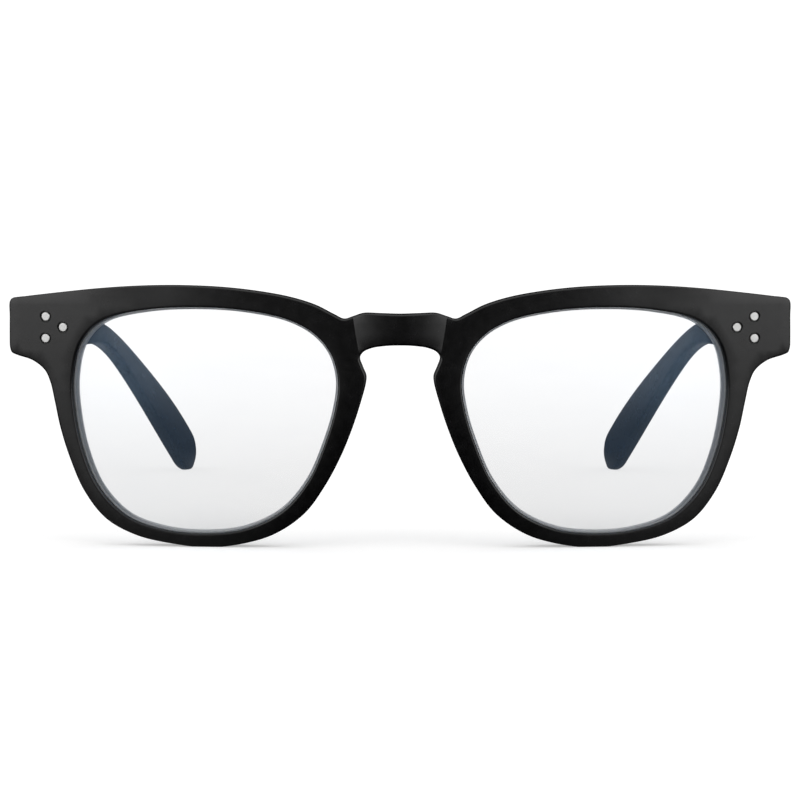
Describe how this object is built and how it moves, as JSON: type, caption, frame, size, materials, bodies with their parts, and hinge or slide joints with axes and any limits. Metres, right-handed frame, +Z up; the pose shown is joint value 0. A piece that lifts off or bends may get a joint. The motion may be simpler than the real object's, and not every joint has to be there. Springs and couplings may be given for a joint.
{
  "type": "blue light glasses",
  "caption": "Full-rim keyhole-bridge spectacles with clear blue-light lenses, bonded nose pads and temples that fold on riveted barrel hinges.",
  "frame": {"origin": "centre of the open glasses' footprint, on the table plane", "axes": "+X towards the viewer's right across the front, +Y back along the temples, +Z up; the lenses face -Y"},
  "size_m": [0.144, 0.1432, 0.0479],
  "materials": {
    "frame_acetate": "satin black with polished edges",
    "pad_acetate": "polished black",
    "temple_acetate": "satin black with polished edges",
    "lens_resin": "clear with a blue reflective coating",
    "rivet_steel": "satin",
    "hinge_nickel_silver": "satin",
    "screw_steel": "polished",
    "core_nickel_silver": "drawn"
  },
  "bodies": {
    "front": {"front_frame": "frame_acetate", "left_front_hinge_leaf": "hinge_nickel_silver", "left_front_rivet_inner": "rivet_steel", "left_front_rivet_lower": "rivet_steel", "left_front_rivet_upper": "rivet_steel", "left_hinge_screw": "screw_steel", "left_lens": "lens_resin", "left_nose_pad": "pad_acetate", "right_front_hinge_leaf": "hinge_nickel_silver", "right_front_rivet_inner": "rivet_steel", "right_front_rivet_lower": "rivet_steel", "right_front_rivet_upper": "rivet_steel", "right_hinge_screw": "screw_steel", "right_lens": "lens_resin", "right_nose_pad": "pad_acetate"},
    "left_temple_arm": {"left_temple": "temple_acetate", "left_temple_core_wire": "core_nickel_silver", "left_temple_hinge_leaf": "hinge_nickel_silver", "left_temple_rivet_front": "rivet_steel", "left_temple_rivet_rear": "rivet_steel"},
    "right_temple_arm": {"right_temple": "temple_acetate", "right_temple_core_wire": "core_nickel_silver", "right_temple_hinge_leaf": "hinge_nickel_silver", "right_temple_rivet_front": "rivet_steel", "right_temple_rivet_rear": "rivet_steel"}
  },
  "joints": [
    {"name": "left_temple_fold", "type": "hinge", "parent": "front", "child": "left_temple_arm", "pos_m": [-0.0675, -0.05745, 0.04015], "axis": [0, 0, -1], "range_deg": [0, 82]},
    {"name": "right_temple_fold", "type": "hinge", "parent": "front", "child": "right_temple_arm", "pos_m": [0.0675, -0.05745, 0.04015], "axis": [0, 0, 1], "range_deg": [0, 72]}
  ]
}
